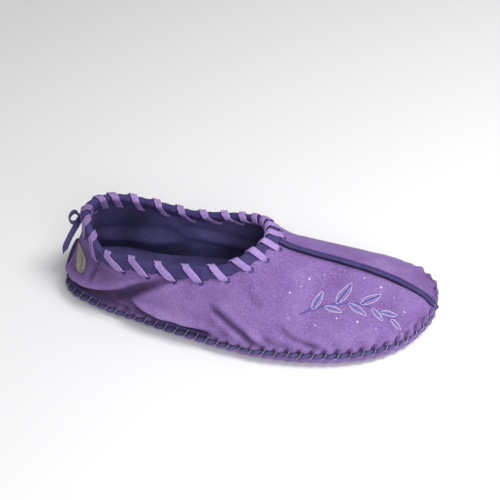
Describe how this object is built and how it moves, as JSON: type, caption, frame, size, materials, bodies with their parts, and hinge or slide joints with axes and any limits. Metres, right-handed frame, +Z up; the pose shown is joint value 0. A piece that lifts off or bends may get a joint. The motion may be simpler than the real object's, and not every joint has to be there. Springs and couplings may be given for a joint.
{
  "type": "soft leather slipper flat",
  "caption": "Soft purple leather moccasin-style flat for the right foot, with a laced suede collar, raised centre seam, flat soft sole and a small bow at the heel.",
  "frame": {"origin": "middle of the slipper's bounding box, without its bow, on the plane it rests on", "axes": "+X from heel to toe, +Y towards the inner side of the right foot, +Z up"},
  "size_m": [0.2662, 0.104, 0.0635],
  "materials": {
    "upper_leather": "soft matt nubuck, mid purple with a slight grain",
    "sole_leather": "soft matt leather, mid purple",
    "insole_suede": "matt suede, dark indigo",
    "trim_suede": "matt suede, dark indigo",
    "lace_leather": "soft flat leather lace, light purple",
    "bow_leather": "flesh side of the lace, dark purple",
    "tag_leather": "bare grey-green leather tab, satin"
  },
  "bodies": {
    "root": {"upper": "upper_leather", "sole": "sole_leather", "insole": "insole_suede", "sole_welt": "trim_suede", "front_welt": "trim_suede", "heel_welt": "trim_suede", "collar_binding": "trim_suede", "collar_lace": "lace_leather", "heel_tag": "tag_leather", "bow_knot": "bow_leather", "bow_loop_lateral": "bow_leather", "bow_loop_medial": "bow_leather", "bow_tail_lateral": "bow_leather", "bow_tail_medial": "bow_leather"}
  },
  "joints": []
}
